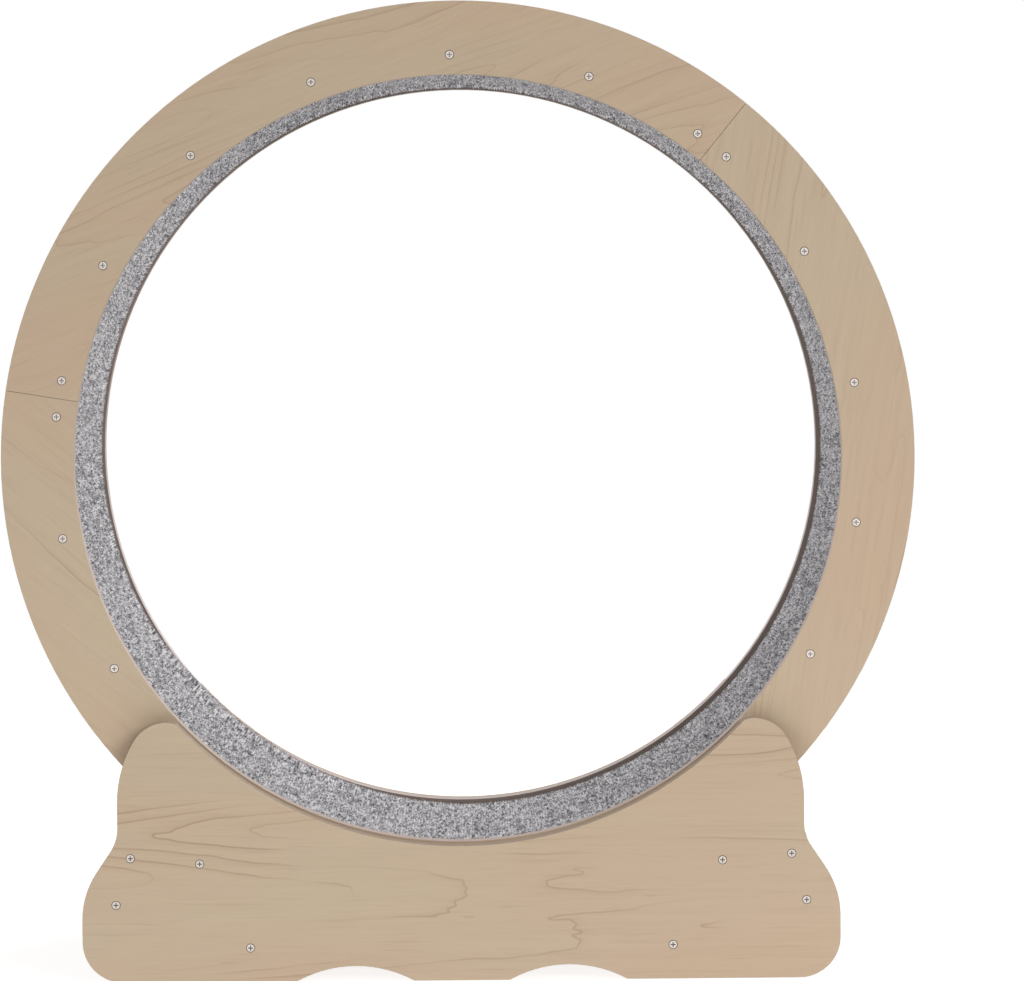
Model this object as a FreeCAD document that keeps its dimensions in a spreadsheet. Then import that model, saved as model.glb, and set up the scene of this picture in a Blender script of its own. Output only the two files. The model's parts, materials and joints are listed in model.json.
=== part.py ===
import FreeCAD, Part
import math
import operator
import os
import types
import Sketcher

# A pet exercise wheel: two plywood rings joined by battens carry a bent running track lined
# with carpet, and the wheel turns on four grooved rollers held between two cut-out panels.
#
# Millimetres. The origin is on the floor under the middle of the wheel, +X is to the right,
# +Y goes from the front panel to the rear one and +Z is up. The wheel turns about a line
# parallel to Y.

V = FreeCAD.Vector
Rotation = FreeCAD.Rotation
Placement = FreeCAD.Placement

# ---------------------------------------------------------------- driving dimensions

DIMENSIONS = [
    ("wheel_radius", 500.0, "outside radius of both rings"),
    ("ring_width", 79.5, "radial width of a ring"),
    ("ring_thickness", 15.0, "plywood of the rings"),
    ("ring_joint_angle", 50.75, "direction of the first ring joint, from +X"),
    ("ring_joint_gap", 0.04, "angle left open at each ring joint"),
    ("track_width", 280.0, "clear width between the rings"),
    ("track_thickness", 4.0, "bent plywood of the track"),
    ("carpet_thickness", 4.5, "carpet runner on the track"),
    ("carpet_drop", 5.0, "lip of the rings above the carpet"),
    ("carpet_seam_angle", 222.0, "direction of the seam in the carpet, from +X"),
    ("carpet_seam_gap", 0.15, "angle left open at the carpet seam"),
    ("glue_gap", 0.3, "glue line between bent and flat pieces"),
    ("batten_width", 30.0, "width of a batten along the rim"),
    ("batten_thickness", 14.0, "radial thickness of a batten"),
    ("batten_pitch", 20.0, "angle from one batten to the next"),
    ("joint_batten_width", 64.0, "width of the battens that bridge the ring joints"),
    ("joint_screw_angle", 2.6, "angle from a ring joint to the screw beside it"),
    ("ground_clearance", 70.0, "height of the lowest point of the wheel"),
    ("side_gap", 10.0, "gap between a ring and the panel beside it"),
    ("panel_thickness", 15.0, "plywood of the two base panels"),
    ("notch_clearance", 0.8, "round cut-out of the front panel beyond the bore of the rings"),
    ("rear_notch_clearance", 2.6, "the same cut-out in the rear panel"),
    ("ear_angle", 48.65, "direction of a panel's ear about the wheel axis, from straight down"),
    ("ear_rise", 6.6, "crest of the ear beyond the cut-out"),
    ("ear_inner_radius", 28.8, "rounding of the ear next to the wheel"),
    ("ear_inner_turn", 45.0, "angle turned by that rounding, inside the cut-out at its end"),
    ("ear_outer_radius", 41.3, "rounding of the ear on its outer side"),
    ("shoulder_radius", 136.0, "long curve from the ear down to the upright side"),
    ("shoulder_turn", 31.0, "angle turned by the long curve"),
    ("foot_flare", 39.8, "distance by which the foot is wider than the shoulder, each side"),
    ("flare_turn", 34.0, "slope of the flare from the upright"),
    ("flare_radius", 95.4, "rounding at the bottom of the flare"),
    ("waist_radius", 45.5, "hollow at the top of the flare"),
    ("flare_share", 0.48, "share of the upright side that lies below the flare"),
    ("foot_corner_radius", 45.0, "rounding of the bottom corners"),
    ("arch_centre", 117.0, "distance of each bottom arch from the middle"),
    ("arch_half_span", 66.0, "half the width of a bottom arch"),
    ("arch_turn", 28.4, "slope of the arch where it leaves its rounded ends"),
    ("arch_lip_radius", 6.0, "rounding of the ends of an arch"),
    ("end_board_width", 92.0, "height of the boards that close the ends of the base"),
    ("end_board_thickness", 15.0, "thickness of the end boards"),
    ("end_board_lean", 17.6, "lean of the end boards towards the wheel"),
    ("end_board_inset", 45.4, "middle of an end board from the side of the foot"),
    ("end_board_height", 112.0, "middle of an end board above the floor"),
    ("end_screw_spacing", 54.0, "distance between the two screws in an end board"),
    ("cross_bar_size", 30.0, "side of the square bars across the base"),
    ("cross_bar_inset", 184.0, "middle of a cross bar from the side of the foot"),
    ("cross_bar_height", 37.7, "middle of a cross bar above the floor"),
    ("screw_radius", 2.0, "wood screw, outside the thread"),
    ("screw_head_radius", 4.75, "countersunk head"),
    ("countersink_angle", 90.0, "whole angle of the cone under a head"),
    ("screw_length", 38.0, "wood screw, head included"),
    ("screw_tip_length", 5.0, "pointed end of a wood screw"),
    ("screw_clearance", 0.15, "radial clearance of a screw in its hole"),
    ("head_clearance", 0.3, "radial gap round a countersunk head"),
    ("pilot_spare", 2.0, "pilot hole beyond the tip of its screw"),
    ("recess_span", 5.4, "length of each slot of the cross recess"),
    ("recess_width", 1.2, "width of each slot of the cross recess"),
    ("recess_depth", 1.8, "depth of the cross recess"),
    ("roller_angle", 33.13, "direction of a roller about the wheel axis, from straight down"),
    ("roller_radius", 23.8, "radius of the bottom of a roller's groove"),
    ("running_clearance", 0.3, "gap between the rim of a ring and the groove of a roller"),
    ("groove_clearance", 0.8, "gap between a ring and each flange of a roller"),
    ("flange_height", 5.2, "flange of a roller above its groove"),
    ("flange_thickness", 5.0, "thickness of a roller's flange"),
    ("flange_chamfer", 1.5, "bevel on the edges of a flange"),
    ("bearing_radius", 8.0, "outside radius of the ball bearing"),
    ("bearing_width", 5.0, "width of the ball bearing"),
    ("race_gap", 2.1, "radial gap between the two races"),
    ("ball_radius", 1.5, "balls of the bearing"),
    ("ball_clearance", 0.2, "clearance of the balls in the grooves of the races"),
    ("axle_radius", 2.5, "shank of the axle bolt"),
    ("axle_clearance", 0.1, "radial clearance on the axle bolt"),
    ("spacer_wall", 1.8, "wall of the spacer tubes on the axle"),
    ("inner_spacer_length", 12.0, "spacer between the bearing and the washer"),
    ("washer_radius", 5.0, "washer under the lock nut"),
    ("washer_thickness", 1.0, "washer under the lock nut"),
    ("nut_across_flats", 8.0, "lock nut"),
    ("nut_thickness", 5.0, "lock nut"),
    ("axle_spare", 2.0, "end of the axle bolt beyond the lock nut"),
]

SEGMENTS = 3
BATTEN_STEPS = (-2, -1, 0, 1, 2)
BALLS = 7
NUT_SIDES = 6
FULL_TURN = 360.0
HALF_TURN = FULL_TURN / 2
SEGMENT_TURN = FULL_TURN / SEGMENTS

doc = FreeCAD.newDocument("ExerciseWheel")
sheet = doc.addObject("Spreadsheet::Sheet", "Dimensions")
for row, (alias, number, meaning) in enumerate(DIMENSIONS, start=1):
    sheet.set("A%d" % row, meaning)
    sheet.set("B%d" % row, str(number))
    sheet.setAlias("B%d" % row, alias)
doc.recompute()


class Size:
    """A size in millimetres or degrees, with the expression that gives it from the sheet."""

    def __init__(self, value, text=None):
        self.value = float(value)
        self.text = text or repr(float(value))

    def joined(self, sign, other, work):
        other = as_size(other)
        text = "(%s %s %s)" % (self.text, sign, other.text)
        return Size(work(self.value, other.value), text)

    def __add__(self, other):
        return self.joined("+", other, operator.add)

    def __sub__(self, other):
        return self.joined("-", other, operator.sub)

    def __mul__(self, other):
        return self.joined("*", other, operator.mul)

    def __truediv__(self, other):
        return self.joined("/", other, operator.truediv)

    def __radd__(self, other):
        return as_size(other) + self

    def __rsub__(self, other):
        return as_size(other) - self

    def __rmul__(self, other):
        return as_size(other) * self

    def __neg__(self):
        return Size(0) - self


def as_size(number):
    return number if isinstance(number, Size) else Size(number)


def cosine(angle):
    angle = as_size(angle)
    return Size(math.cos(math.radians(angle.value)), "cos(%s)" % angle.text)


def sine(angle):
    angle = as_size(angle)
    return Size(math.sin(math.radians(angle.value)), "sin(%s)" % angle.text)


def root(size):
    return Size(math.sqrt(size.value), "sqrt(%s)" % size.text)


def polar(radius, angle):
    return radius * cosine(angle), radius * sine(angle)


d = types.SimpleNamespace(**{
    alias: Size(sheet.get(alias), "Dimensions." + alias) for alias, number, meaning in DIMENSIONS})

# ---------------------------------------------------------------- sizes that follow

axle_height = d.ground_clearance + d.wheel_radius
bore_radius = d.wheel_radius - d.ring_width
carpet_face_radius = bore_radius + d.carpet_drop
carpet_back_radius = carpet_face_radius + d.carpet_thickness
track_face_radius = carpet_back_radius + d.glue_gap
track_back_radius = track_face_radius + d.track_thickness
batten_radius = track_back_radius + d.glue_gap + d.batten_thickness / 2

ring_face = d.track_width / 2 + d.ring_thickness
panel_inner_face = ring_face + d.side_gap
panel_outer_face = panel_inner_face + d.panel_thickness
ring_middle = d.track_width / 2 + d.ring_thickness / 2

notch_radius = bore_radius + d.notch_clearance
rear_notch_radius = bore_radius + d.rear_notch_clearance
crest_x = (notch_radius + d.ear_rise) * sine(d.ear_angle)
crest_z = axle_height - (notch_radius + d.ear_rise) * cosine(d.ear_angle)
shoulder_x = (crest_x + d.ear_outer_radius * cosine(d.shoulder_turn)
              + d.shoulder_radius * (1 - cosine(d.shoulder_turn)))
foot_x = shoulder_x + d.foot_flare
end_board_x = foot_x - d.end_board_inset
cross_bar_x = foot_x - d.cross_bar_inset

roller_distance = d.wheel_radius + d.running_clearance + d.roller_radius
roller_x = roller_distance * sine(d.roller_angle)
roller_z = axle_height - roller_distance * cosine(d.roller_angle)
groove_half_width = d.ring_thickness / 2 + d.groove_clearance
roller_half_width = groove_half_width + d.flange_thickness
axle_hole_radius = d.axle_radius + d.axle_clearance
ball_pitch_radius = (axle_hole_radius + d.bearing_radius) / 2
outer_spacer_length = panel_inner_face - ring_middle - d.bearing_width / 2
washer_end = ring_middle - d.bearing_width / 2 - d.inner_spacer_length
nut_end = washer_end - d.washer_thickness
axle_length = panel_outer_face - nut_end + d.nut_thickness + d.axle_spare

screw_hole_radius = d.screw_radius + d.screw_clearance
head_hole_radius = d.screw_head_radius + d.head_clearance

# ---------------------------------------------------------------- ways to make a piece

parts = {}

FRONT = Rotation()
REAR = Rotation(V(0, 0, 1), HALF_TURN)


def keep(piece, node):
    """List a finished sub-part under the name of its node."""
    piece.Label = node
    parts[node] = piece


def place(piece, x=0, y=0, z=0, rotation=None):
    """Put a piece at x, y, z, which stay tied to the sheet."""
    spot = [as_size(number) for number in (x, y, z)]
    piece.Placement = Placement(V(*[size.value for size in spot]), rotation or Rotation())
    for axis, size in zip("xyz", spot):
        piece.setExpression("Placement.Base." + axis, size.text)


def about_wheel(angle):
    """The turn about the wheel axis that takes +X to the given direction in the XZ plane."""
    return Rotation(V(0, -1, 0), as_size(angle).value)


def origin_feature(body, role):
    return next(item for item in body.Origin.OriginFeatures if item.Role == role)


def new_sketch(body, name, role, offset=None):
    """A sketch on one of the body's origin planes, moved along the plane's normal."""
    sketch = body.newObject("Sketcher::SketchObject", name)
    sketch.AttachmentSupport = [(origin_feature(body, role), "")]
    sketch.MapMode = "FlatFace"
    if offset is not None:
        sketch.AttachmentOffset = Placement(V(0, 0, offset.value), Rotation())
        sketch.setExpression("AttachmentOffset.Base.z", offset.text)
    return sketch


def bind(sketch, constraint, name, size):
    """Add a constraint whose value follows the sheet."""
    index = sketch.addConstraint(constraint)
    sketch.renameConstraint(index, name)
    sketch.setExpression("Constraints." + name, size.text)


def pin(sketch, geometry, end, name, x, y):
    """Fix one point of the sketch at x, y."""
    bind(sketch, Sketcher.Constraint("DistanceX", -1, 1, geometry, end, x.value), name + "_x", x)
    bind(sketch, Sketcher.Constraint("DistanceY", -1, 1, geometry, end, y.value), name + "_y", y)


def arc_between(start, finish, radius, side):
    """The shorter arc from start to finish; side is 1 for a left turn and -1 for a right one."""
    chord = finish - start
    reach = math.sqrt(radius ** 2 - (chord.Length / 2) ** 2)
    left = V(-chord.y, chord.x, 0).normalize()
    centre = (start + finish) / 2 + left * (side * reach)
    first, last = (start, finish) if side > 0 else (finish, start)
    first_angle = math.atan2(first.y - centre.y, first.x - centre.x)
    last_angle = math.atan2(last.y - centre.y, last.x - centre.x)
    if last_angle < first_angle:
        last_angle += math.tau
    return Part.ArcOfCircle(Part.Circle(centre, V(0, 0, 1), radius), first_angle, last_angle)


def draw(sketch, stops):
    """A closed outline. Each stop is (x, y) before a straight run, or (x, y, radius, side)
    before an arc."""
    stops = [tuple(as_size(number) for number in stop[:3]) + stop[3:] for stop in stops]
    runs = []
    for number, (here, there) in enumerate(zip(stops, stops[1:] + stops[:1])):
        start = V(here[0].value, here[1].value, 0)
        finish = V(there[0].value, there[1].value, 0)
        if len(here) == 2:
            geometry = sketch.addGeometry(Part.LineSegment(start, finish))
            runs.append((geometry, 1, 2))
            continue
        radius, side = here[2:]
        geometry = sketch.addGeometry(arc_between(start, finish, radius.value, side))
        runs.append((geometry, 1, 2) if side > 0 else (geometry, 2, 1))
        bind(sketch, Sketcher.Constraint("Radius", geometry, radius.value),
             "arc_%d" % number, radius)
    for number, run in enumerate(runs):
        before = runs[number - 1]
        sketch.addConstraint(Sketcher.Constraint("Coincident", before[0], before[2], run[0], run[1]))
        pin(sketch, run[0], run[1], "stop_%d" % number, stops[number][0], stops[number][1])


def draw_circles(sketch, centres, radius):
    for number, (x, y) in enumerate(centres):
        x, y = as_size(x), as_size(y)
        circle = Part.Circle(V(x.value, y.value, 0), V(0, 0, 1), radius.value)
        geometry = sketch.addGeometry(circle)
        bind(sketch, Sketcher.Constraint("Radius", geometry, radius.value),
             "circle_%d" % number, radius)
        pin(sketch, geometry, 3, "centre_%d" % number, x, y)


def flat_board(name, stops, length, start=None):
    """A body with the outline stops in its XZ plane, reaching length along +Y from start."""
    body = doc.addObject("PartDesign::Body", name)
    start = as_size(0) if start is None else start
    sketch = new_sketch(body, name + "_outline", "XZ_Plane", -start)
    draw(sketch, stops)
    pad = body.newObject("PartDesign::Pad", name + "_pad")
    pad.Profile = sketch
    pad.Reversed = True
    pad.Length = length.value
    pad.setExpression("Length", length.text)
    doc.recompute()
    return body


def checked_cut(body, feature, volume):
    """Recompute and make sure that the feature took material away."""
    doc.recompute()
    body.Tip = feature
    doc.recompute()
    if not body.Shape.Volume < volume:
        raise RuntimeError(feature.Name + " removed nothing")


def bore_holes(body, name, centres, radius, depth, start):
    """Round holes of the given depth along +Y, from the plane at Y = start."""
    volume = body.Shape.Volume
    sketch = new_sketch(body, name + "_centres", "XZ_Plane", -start)
    draw_circles(sketch, centres, radius)
    pocket = body.newObject("PartDesign::Pocket", name)
    pocket.Profile = sketch
    pocket.Length = depth.value
    pocket.setExpression("Length", depth.text)
    checked_cut(body, pocket, volume)
    return pocket


def mirror_ends(body, name, feature):
    """Repeat a hole in the other end of a board that is centred on its XZ plane."""
    volume = body.Shape.Volume
    mirrored = body.newObject("PartDesign::Mirrored", name)
    mirrored.Originals = [feature]
    mirrored.MirrorPlane = (origin_feature(body, "XZ_Plane"), [""])
    checked_cut(body, mirrored, volume)


def countersunk_holes(body, name, centres, radius):
    """Through holes whose countersinks open at the plane Y = 0."""
    volume = body.Shape.Volume
    sketch = new_sketch(body, name + "_centres", "XZ_Plane")
    draw_circles(sketch, centres, radius)
    doc.recompute()
    hole = body.newObject("PartDesign::Hole", name)
    hole.Profile = sketch
    hole.ThreadType = "None"
    hole.DepthType = "ThroughAll"
    hole.HoleCutType = "Countersink"
    for prop, size in (("Diameter", radius * 2), ("HoleCutDiameter", head_hole_radius * 2),
                       ("HoleCutCountersinkAngle", d.countersink_angle)):
        setattr(hole, prop, size.value)
        hole.setExpression(prop, size.text)
    checked_cut(body, hole, volume)


def turned(name, stops):
    """A body of revolution about Y: the stops are (distance from the axis, Y)."""
    body = doc.addObject("PartDesign::Body", name)
    sketch = new_sketch(body, name + "_profile", "XY_Plane")
    draw(sketch, stops)
    revolution = body.newObject("PartDesign::Revolution", name + "_turned")
    revolution.Profile = sketch
    revolution.ReferenceAxis = (sketch, ["V_Axis"])
    revolution.Angle = FULL_TURN
    doc.recompute()
    return body


def tube(name, inner, outer, start, end):
    return turned(name, [(inner, start), (outer, start), (outer, end), (inner, end)])


def group(node, template, placements):
    """One node that holds a copy of the template at each placement."""
    copies = []
    for number, placement in enumerate(placements, start=1):
        copy = doc.addObject("App::Link", "%s_%d" % (node, number))
        copy.LinkedObject = template
        copy.Placement = placement
        copies.append(copy)
    compound = doc.addObject("Part::Compound", node)
    compound.Links = copies
    keep(compound, node)


def spot(x, y, z, rotation=FRONT):
    return Placement(V(*[as_size(number).value for number in (x, y, z)]), rotation)


def sector(inner, outer, half_angle):
    """A piece of a ring, symmetric about +X."""
    low_in, low_out = polar(inner, -half_angle), polar(outer, -half_angle)
    high_in, high_out = polar(inner, half_angle), polar(outer, half_angle)
    return [low_in, low_out + (outer, 1), high_out, high_in + (inner, -1)]


def rectangle(width, height, x=0, y=0):
    left, right = x - width / 2, x + width / 2
    low, high = y - height / 2, y + height / 2
    return [(left, low), (right, low), (right, high), (left, high)]


# ---------------------------------------------------------------- the wheel

segment_half_angle = SEGMENT_TURN / 2 - d.ring_joint_gap / 2
segment_middles = [d.ring_joint_angle + SEGMENT_TURN * (number + 0.5) for number in range(SEGMENTS)]
joint_directions = [d.ring_joint_angle + SEGMENT_TURN * number for number in range(SEGMENTS)]
inner_screw_angles = [d.batten_pitch * step for step in BATTEN_STEPS]
end_screw_angle = SEGMENT_TURN / 2 - d.joint_screw_angle
ring_screw_angles = [-end_screw_angle] + inner_screw_angles + [end_screw_angle]


def make_ring_segment(node, side, middle):
    """A third of one ring; its screw heads face away from the track."""
    body = flat_board(node, sector(bore_radius, d.wheel_radius, segment_half_angle),
                      d.ring_thickness)
    countersunk_holes(body, node + "_holes",
                      [polar(batten_radius, angle) for angle in ring_screw_angles],
                      screw_hole_radius)
    flip = Rotation(V(1, 0, 0), HALF_TURN if side == "rear" else 0)
    place(body, 0, ring_face if side == "rear" else -ring_face, axle_height,
          about_wheel(middle).multiply(flip))
    keep(body, node)


def make_track_board(node, middle):
    """A third of the bent running track, between the rings."""
    body = flat_board(node, sector(track_face_radius, track_back_radius, segment_half_angle),
                      d.track_width, -d.track_width / 2)
    place(body, 0, 0, axle_height, about_wheel(middle))
    keep(body, node)


def make_carpet():
    """The carpet runner lines the whole track and has one seam."""
    half_angle = HALF_TURN - d.carpet_seam_gap / 2
    quarter = FULL_TURN / 4
    around = [-half_angle, -quarter, as_size(0), as_size(quarter), half_angle]
    outward = [polar(carpet_back_radius, angle) + (carpet_back_radius, 1) for angle in around[:-1]]
    inward = [polar(carpet_face_radius, angle) + (carpet_face_radius, -1)
              for angle in around[:0:-1]]
    stops = (outward + [polar(carpet_back_radius, half_angle)]
             + inward + [polar(carpet_face_radius, -half_angle)])
    body = flat_board("carpet_runner", stops, d.track_width, -d.track_width / 2)
    place(body, 0, 0, axle_height, about_wheel(d.carpet_seam_angle + HALF_TURN))
    keep(body, "carpet_runner")


def screwed_board(name, stops, length, centres, plate_thickness):
    """A board of the given length along Y with pilot holes in both ends, for screws that come
    through a plate."""
    body = flat_board(name, stops, length, -length / 2)
    depth = d.screw_length + d.pilot_spare - plate_thickness
    holes = bore_holes(body, name + "_pilots", centres, screw_hole_radius, depth, -length / 2)
    mirror_ends(body, name + "_far_pilots", holes)
    return body


def make_batten(node, width, screw_angles, direction):
    """A straight batten on the back of the track, screwed to both rings."""
    body = screwed_board(node, rectangle(d.batten_thickness, width, batten_radius),
                         d.track_width, [polar(batten_radius, angle) for angle in screw_angles],
                         d.ring_thickness)
    place(body, 0, 0, axle_height, about_wheel(direction))
    keep(body, node)


def make_wheel():
    for number, middle in enumerate(segment_middles, start=1):
        for side in ("front", "rear"):
            make_ring_segment("%s_ring_segment_%d" % (side, number), side, middle)
        make_track_board("track_board_%d" % number, middle)
        for step, angle in enumerate(inner_screw_angles, start=1):
            make_batten("batten_%d_%d" % (number, step), d.batten_width, [Size(0)], middle + angle)
    for number, direction in enumerate(joint_directions, start=1):
        make_batten("joint_batten_%d" % number, d.joint_batten_width,
                    [-d.joint_screw_angle, d.joint_screw_angle], direction)
    make_carpet()


# ---------------------------------------------------------------- the base

def mirrored_outline(right_half):
    """Close an outline whose right half is given from the bottom up."""
    left_half = []
    for number in range(len(right_half) - 1, -1, -1):
        x, z = right_half[number][:2]
        bend = right_half[number - 1][2:] if number > 0 else ()
        left_half.append((-x, z) + bend)
    return right_half + left_half


def panel_stops():
    """The outline of a base panel: two arches in its foot, round bottom corners, a flare, a
    waist and a round ear on each side. The top edge is cut away by the notch."""
    arch_radius = d.arch_half_span / sine(d.arch_turn) - d.arch_lip_radius
    arch_left = d.arch_centre - d.arch_half_span
    arch_right = d.arch_centre + d.arch_half_span
    lip_run = d.arch_lip_radius * sine(d.arch_turn)
    lip_rise = d.arch_lip_radius * (1 - cosine(d.arch_turn))

    bend_z = crest_z - d.ear_outer_radius * (1 - sine(d.shoulder_turn))
    shoulder_z = bend_z - d.shoulder_radius * sine(d.shoulder_turn)
    slope_low_x = foot_x - d.flare_radius * (1 - cosine(d.flare_turn))
    slope_high_x = shoulder_x + d.waist_radius * (1 - cosine(d.flare_turn))
    slope_rise = (slope_low_x - slope_high_x) * cosine(d.flare_turn) / sine(d.flare_turn)
    flare_rise = (d.flare_radius + d.waist_radius) * sine(d.flare_turn) + slope_rise
    upright = shoulder_z - d.foot_corner_radius - flare_rise
    flare_z = d.foot_corner_radius + upright * d.flare_share
    slope_low_z = flare_z + d.flare_radius * sine(d.flare_turn)
    inner_run = d.ear_inner_radius * sine(d.ear_inner_turn)
    inner_drop = d.ear_inner_radius * (1 - cosine(d.ear_inner_turn))
    return mirrored_outline([
        (arch_left, 0, d.arch_lip_radius, 1),
        (arch_left + lip_run, lip_rise, arch_radius, -1),
        (arch_right - lip_run, lip_rise, d.arch_lip_radius, 1),
        (arch_right, 0),
        (foot_x - d.foot_corner_radius, 0, d.foot_corner_radius, 1),
        (foot_x, d.foot_corner_radius),
        (foot_x, flare_z, d.flare_radius, 1),
        (slope_low_x, slope_low_z),
        (slope_high_x, slope_low_z + slope_rise, d.waist_radius, -1),
        (shoulder_x, flare_z + flare_rise),
        (shoulder_x, shoulder_z, d.shoulder_radius, 1),
        (crest_x + d.ear_outer_radius * cosine(d.shoulder_turn), bend_z, d.ear_outer_radius, 1),
        (crest_x, crest_z, d.ear_inner_radius, 1),
        (crest_x - inner_run, crest_z - inner_drop),
    ])


def end_board_line(offset):
    """A point of the right end board's leaning middle line, offset from its centre."""
    return (end_board_x - offset * sine(d.end_board_lean),
            d.end_board_height + offset * cosine(d.end_board_lean))


def both_sides(points):
    return list(points) + [(-x, z) for x, z in points]


end_screw_spots = both_sides([end_board_line(d.end_screw_spacing / 2),
                              end_board_line(-d.end_screw_spacing / 2)])
bar_screw_spots = both_sides([(cross_bar_x, d.cross_bar_height)])
panel_screw_spots = end_screw_spots + bar_screw_spots
axle_spots = both_sides([(roller_x, roller_z)])


def make_panel(node, side):
    """A plywood panel with a round cut-out as wide as the bore of the wheel."""
    body = flat_board(node, panel_stops(), d.panel_thickness)
    radius = notch_radius if side == "front" else rear_notch_radius
    bore_holes(body, node + "_notch", [(Size(0), axle_height)], radius,
               d.panel_thickness, Size(0))
    countersunk_holes(body, node + "_screw_holes", panel_screw_spots, screw_hole_radius)
    countersunk_holes(body, node + "_axle_holes", axle_spots, axle_hole_radius)
    if side == "front":
        place(body, 0, -panel_outer_face, 0, FRONT)
    else:
        place(body, 0, panel_outer_face, 0, REAR)
    keep(body, node)


def make_end_board(node, side):
    """A leaning board between the panels; side is 1 on the right and -1 on the left."""
    lean = Rotation(V(0, -1, 0), side * d.end_board_lean.value)
    half = d.end_screw_spacing / 2
    body = screwed_board(node, rectangle(d.end_board_thickness, d.end_board_width),
                         panel_inner_face * 2, [(Size(0), half), (Size(0), -half)],
                         d.panel_thickness)
    place(body, end_board_x * side, 0, d.end_board_height, lean)
    keep(body, node)


def make_cross_bar(node, side):
    body = screwed_board(node, rectangle(d.cross_bar_size, d.cross_bar_size),
                         panel_inner_face * 2, [(Size(0), Size(0))], d.panel_thickness)
    place(body, cross_bar_x * side, 0, d.cross_bar_height)
    keep(body, node)


def make_base():
    for side in ("front", "rear"):
        make_panel(side + "_panel", side)
    for name, side in (("left", -1), ("right", 1)):
        make_end_board(name + "_end_board", side)
        make_cross_bar(name + "_cross_bar", side)


# ---------------------------------------------------------------- fasteners

def cut_cross_recess(body):
    """A cross-shaped recess in a screw head that lies in the plane Y = 0."""
    volume = body.Shape.Volume
    long, short = d.recess_span / 2, d.recess_width / 2
    sketch = new_sketch(body, body.Name + "_cross", "XZ_Plane")
    draw(sketch, [(-long, -short), (-short, -short), (-short, -long), (short, -long),
                  (short, -short), (long, -short), (long, short), (short, short),
                  (short, long), (-short, long), (-short, short), (-long, short)])
    pocket = body.newObject("PartDesign::Pocket", body.Name + "_recess")
    pocket.Profile = sketch
    pocket.Length = d.recess_depth.value
    pocket.setExpression("Length", d.recess_depth.text)
    checked_cut(body, pocket, volume)


def cone_depth(shank_radius):
    """Depth of a countersunk head that narrows to the given shank."""
    half_angle = d.countersink_angle / 2
    return (d.screw_head_radius - shank_radius) * cosine(half_angle) / sine(half_angle)


def make_wood_screw():
    """A countersunk wood screw with its head in the plane Y = 0 and its point towards +Y."""
    head_depth = cone_depth(d.screw_radius)
    body = turned("wood_screw", [
        (Size(0), Size(0)), (d.screw_head_radius, Size(0)), (d.screw_radius, head_depth),
        (d.screw_radius, d.screw_length - d.screw_tip_length), (Size(0), d.screw_length)])
    cut_cross_recess(body)
    return body


def make_axle_bolt():
    """A countersunk machine screw with the same head as the wood screws."""
    head_depth = cone_depth(d.axle_radius)
    body = turned("axle_bolt", [
        (Size(0), Size(0)), (d.screw_head_radius, Size(0)), (d.axle_radius, head_depth),
        (d.axle_radius, axle_length), (Size(0), axle_length)])
    cut_cross_recess(body)
    return body


def make_screws():
    screw = make_wood_screw()
    for side, sign, rotation in (("front", -1, FRONT), ("rear", 1, REAR)):
        in_ring = []
        for middle in segment_middles:
            for angle in ring_screw_angles:
                x, z = polar(batten_radius, middle + angle)
                in_ring.append(spot(x, ring_face * sign, axle_height + z, rotation))
        group(side + "_ring_screws", screw, in_ring)
        group(side + "_panel_screws", screw,
              [spot(x, panel_outer_face * sign, z, rotation) for x, z in panel_screw_spots])


# ---------------------------------------------------------------- rollers and their axles

def make_roller(node):
    """A grooved roller: the rim of a ring runs between its flanges."""
    bore = d.bearing_radius + d.axle_clearance
    groove, half = groove_half_width, roller_half_width
    flange = d.roller_radius + d.flange_height
    bevel = d.flange_chamfer
    return turned(node, [
        (bore, -half), (flange - bevel, -half), (flange, bevel - half),
        (flange, -groove - bevel), (flange - bevel, -groove), (d.roller_radius, -groove),
        (d.roller_radius, groove), (flange - bevel, groove), (flange, groove + bevel),
        (flange, half - bevel), (flange - bevel, half), (bore, half)])


def race_groove():
    """Radius and half width of the ball groove where it meets the face of a race."""
    radius = d.ball_radius + d.ball_clearance
    half_gap = d.race_gap / 2
    return radius, root(radius * radius - half_gap * half_gap)


def make_outer_race(node):
    radius, groove = race_groove()
    half = d.bearing_width / 2
    face = ball_pitch_radius + d.race_gap / 2
    return turned(node, [(face, -half), (d.bearing_radius, -half), (d.bearing_radius, half),
                         (face, half), (face, groove, radius, -1), (face, -groove)])


def make_inner_race():
    radius, groove = race_groove()
    half = d.bearing_width / 2
    face = ball_pitch_radius - d.race_gap / 2
    return turned("inner_race", [(axle_hole_radius, -half), (face, -half),
                                 (face, -groove, radius, -1), (face, groove), (face, half),
                                 (axle_hole_radius, half)])


def make_ball():
    ball = doc.addObject("Part::Sphere", "ball")
    ball.Radius = d.ball_radius.value
    ball.setExpression("Radius", d.ball_radius.text)
    return ball


def make_lock_nut():
    """A hexagon nut whose face lies in the plane Y = 0."""
    side_turn = FULL_TURN / NUT_SIDES
    corner = d.nut_across_flats / (2 * cosine(side_turn / 2))
    stops = [polar(corner, side_turn * number) for number in range(NUT_SIDES)]
    body = flat_board("lock_nut", stops, d.nut_thickness)
    bore_holes(body, "lock_nut_bore", [(Size(0), Size(0))], axle_hole_radius,
               d.nut_thickness, Size(0))
    return body


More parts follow.
